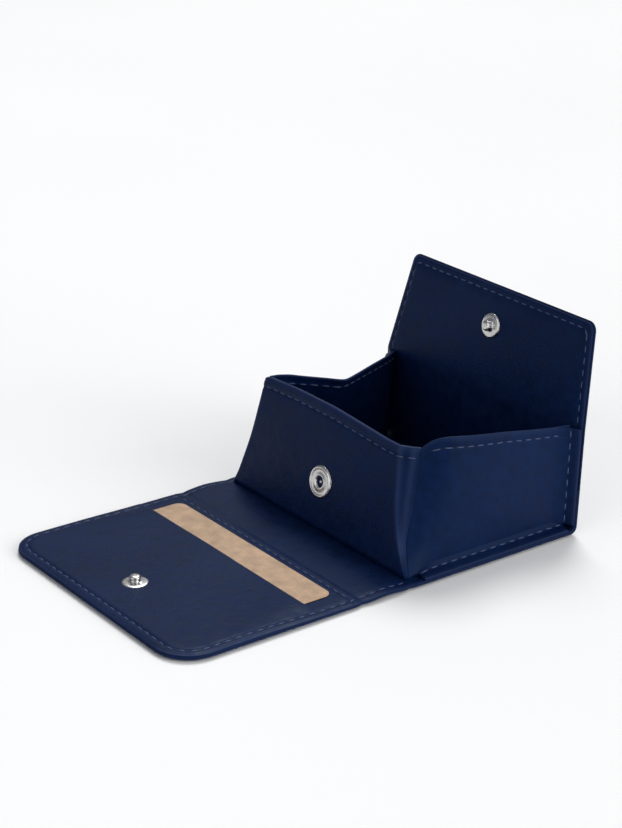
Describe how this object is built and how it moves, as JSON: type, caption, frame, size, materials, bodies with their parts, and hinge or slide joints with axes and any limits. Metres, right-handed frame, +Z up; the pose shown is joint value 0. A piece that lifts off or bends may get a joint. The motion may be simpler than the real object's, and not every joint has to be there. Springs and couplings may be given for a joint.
{
  "type": "card holder",
  "caption": "Open leather card holder with a flat cover and card pocket, a fold-up coin box with gussets, a snap lid and snap fasteners.",
  "frame": {"origin": "under the middle of the open holder's box, on the surface it lies on", "axes": "+X across the strip, +Y from the cover to the lid, +Z up"},
  "size_m": [0.1, 0.164, 0.0697],
  "materials": {
    "navy_leather": "smooth, semi-matte, fine grain",
    "lining_leather": "smooth, matte",
    "label_leather": "natural vegetable-tanned, matte",
    "nickel": "polished nickel",
    "board": "bonded leather board",
    "thread": "waxed polyester thread"
  },
  "bodies": {
    "base": {"base_shell": "navy_leather", "base_board": "board", "base_lining": "lining_leather", "gusset_flange_left": "navy_leather", "gusset_flange_right": "navy_leather"},
    "spine": {"spine_shell": "navy_leather", "spine_lining": "lining_leather"},
    "cover": {"cover_shell": "navy_leather", "cover_lining": "lining_leather", "card_pocket": "navy_leather", "label": "label_leather", "cover_stud": "nickel", "cover_stud_post": "nickel"},
    "front_wall": {"front_shell": "navy_leather", "front_lining": "lining_leather", "front_socket": "nickel", "front_socket_eyelet": "nickel"},
    "back_wall": {"back_shell": "navy_leather", "back_lining": "lining_leather", "rear_flange_left": "navy_leather", "rear_flange_right": "navy_leather", "rear_socket": "nickel", "rear_socket_eyelet": "nickel"},
    "lid": {"lid_shell": "navy_leather", "lid_lining": "lining_leather", "lid_stud": "nickel", "lid_stud_post": "nickel"},
    "gusset_left_panel": {"gusset_left": "navy_leather"},
    "gusset_right_panel": {"gusset_right": "navy_leather"}
  },
  "joints": [
    {"name": "spine_fold", "type": "hinge", "parent": "base", "child": "spine", "pos_m": [0, 0.00351, 0.002], "axis": [-1, 0, 0], "range_deg": [0, 90]},
    {"name": "cover_fold", "type": "hinge", "parent": "spine", "child": "cover", "pos_m": [0, -0.01449, 0.002], "axis": [-1, 0, 0], "range_deg": [0, 90]},
    {"name": "front_wall_fold", "type": "hinge", "parent": "base", "child": "front_wall", "pos_m": [0, 0.00561, 0.0022], "axis": [-1, 0, 0], "range_deg": [0, 64.82]},
    {"name": "back_wall_fold", "type": "hinge", "parent": "base", "child": "back_wall", "pos_m": [0, 0.07151, 0.0022], "axis": [1, 0, 0], "range_deg": [0, 69.74]},
    {"name": "lid_fold", "type": "hinge", "parent": "back_wall", "child": "lid", "pos_m": [0, 0.07266, 0.03518], "axis": [1, 0, 0], "range_deg": [0, 45.6]},
    {"name": "gusset_left_fold", "type": "hinge", "parent": "base", "child": "gusset_left_panel", "pos_m": [-0.045, 0.03851, 0.0024], "axis": [0, 1, 0], "range_deg": [0, 84.05], "deforming": ["gusset_left"]},
    {"name": "gusset_right_fold", "type": "hinge", "parent": "base", "child": "gusset_right_panel", "pos_m": [0.045, 0.03851, 0.0024], "axis": [0, -1, 0], "range_deg": [0, 84.05], "deforming": ["gusset_right"]}
  ],
  "couplings": [
    {"joint": "front_wall_fold", "follows": "spine_fold", "ratio": 0.71964},
    {"joint": "back_wall_fold", "follows": "spine_fold", "ratio": 0.77429},
    {"joint": "lid_fold", "follows": "spine_fold", "ratio": 0.50607},
    {"joint": "gusset_left_fold", "follows": "spine_fold", "ratio": 0.93333},
    {"joint": "gusset_right_fold", "follows": "spine_fold", "ratio": 0.93333}
  ]
}
